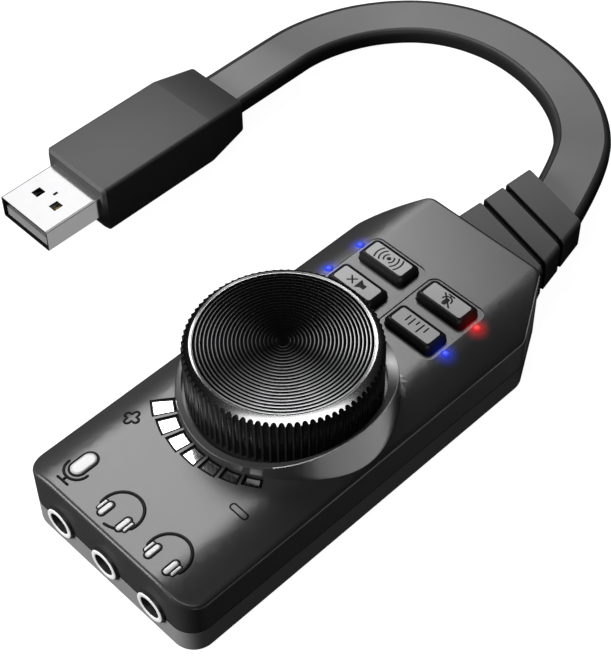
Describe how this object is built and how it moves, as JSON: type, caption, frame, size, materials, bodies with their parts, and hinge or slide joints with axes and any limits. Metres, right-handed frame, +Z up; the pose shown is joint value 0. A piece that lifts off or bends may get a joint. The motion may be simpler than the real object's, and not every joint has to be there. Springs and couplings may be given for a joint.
{
  "type": "usb sound card",
  "caption": "Pocket USB sound card with a ribbed volume knob, push buttons, 3.5 mm jacks and a short flat cord to a plug.",
  "frame": {"origin": "under the middle of the case, on the surface it stands on", "axes": "+Z up, +Y along the case towards the cord, jacks facing -Y"},
  "size_m": [0.0859, 0.1326, 0.0241],
  "materials": {
    "case_plastic": "fine satin black moulding",
    "knob_metal": "black anodised, cut bright on the chamfer",
    "disc_metal": "concentric turned grooves",
    "button_plastic": "grey top on black skirt",
    "plated_trim": "bright plating",
    "light_blue": "clear pipe lit blue",
    "light_red": "clear pipe lit red",
    "board_green": "solder mask",
    "steel": "plain",
    "contact_metal": "gold flash",
    "black_parts": "moulded black",
    "white_parts": "moulded white",
    "soft_grey": "soft dark grey moulding",
    "cord_grey": "satin grey jacket",
    "shell_steel": "nickel plated",
    "lead_red": "insulation",
    "lead_white": "insulation",
    "lead_green": "insulation",
    "lead_black": "insulation"
  },
  "bodies": {
    "case": {"amplifier_chip": "black_parts", "black_lead": "lead_black", "bottom_cover": "case_plastic", "capacitors": "steel", "case_screws": "steel", "codec_chip": "black_parts", "cord_connector": "white_parts", "crystal": "steel", "encoder_body": "steel", "encoder_bushing": "contact_metal", "encoder_nut": "steel", "equaliser_light_pipe": "light_blue", "equaliser_switch": "black_parts", "flat_cord": "cord_grey", "green_lead": "lead_green", "headphone_jack_body": "black_parts", "headphone_jack_contacts": "contact_metal", "headphone_jack_ring": "plated_trim", "headset_jack_body": "black_parts", "headset_jack_contacts": "contact_metal", "headset_jack_ring": "plated_trim", "led_chips": "white_parts", "level_scale": "plated_trim", "main_board": "board_green", "microphone_jack_body": "black_parts", "microphone_jack_contacts": "contact_metal", "microphone_jack_ring": "plated_trim", "microphone_mute_light_pipe": "light_red", "microphone_mute_switch": "black_parts", "plug_overmold": "soft_grey", "red_lead": "lead_red", "resistors": "black_parts", "speaker_mute_light_pipe": "light_blue", "speaker_mute_switch": "black_parts", "strain_relief": "soft_grey", "surround_light_pipe": "light_blue", "surround_switch": "black_parts", "top_cover": "case_plastic", "usb_contacts": "contact_metal", "usb_shell": "shell_steel", "usb_tongue": "black_parts", "white_lead": "lead_white"},
    "knob": {"knob_grip": "knob_metal", "knob_disc": "disc_metal", "encoder_shaft": "steel"},
    "surround_key": {"surround_button": "button_plastic", "surround_plunger": "black_parts"},
    "speaker_mute_key": {"speaker_mute_button": "button_plastic", "speaker_mute_plunger": "black_parts"},
    "microphone_mute_key": {"microphone_mute_button": "button_plastic", "microphone_mute_plunger": "black_parts"},
    "equaliser_key": {"equaliser_button": "button_plastic", "equaliser_plunger": "black_parts"}
  },
  "joints": [
    {"name": "knob_turn", "type": "hinge", "parent": "case", "child": "knob", "pos_m": [0, -0.00415, 0.0145], "axis": [0, 0, 1], "continuous": true},
    {"name": "surround_press", "type": "slide", "parent": "case", "child": "surround_key", "axis": [0, 0, -1], "range_m": [0, 0.0005], "stiffness_N_per_m": 600},
    {"name": "speaker_mute_press", "type": "slide", "parent": "case", "child": "speaker_mute_key", "axis": [0, 0, -1], "range_m": [0, 0.0005], "stiffness_N_per_m": 600},
    {"name": "microphone_mute_press", "type": "slide", "parent": "case", "child": "microphone_mute_key", "axis": [0, 0, -1], "range_m": [0, 0.0005], "stiffness_N_per_m": 600},
    {"name": "equaliser_press", "type": "slide", "parent": "case", "child": "equaliser_key", "axis": [0, 0, -1], "range_m": [0, 0.0005], "stiffness_N_per_m": 600}
  ]
}
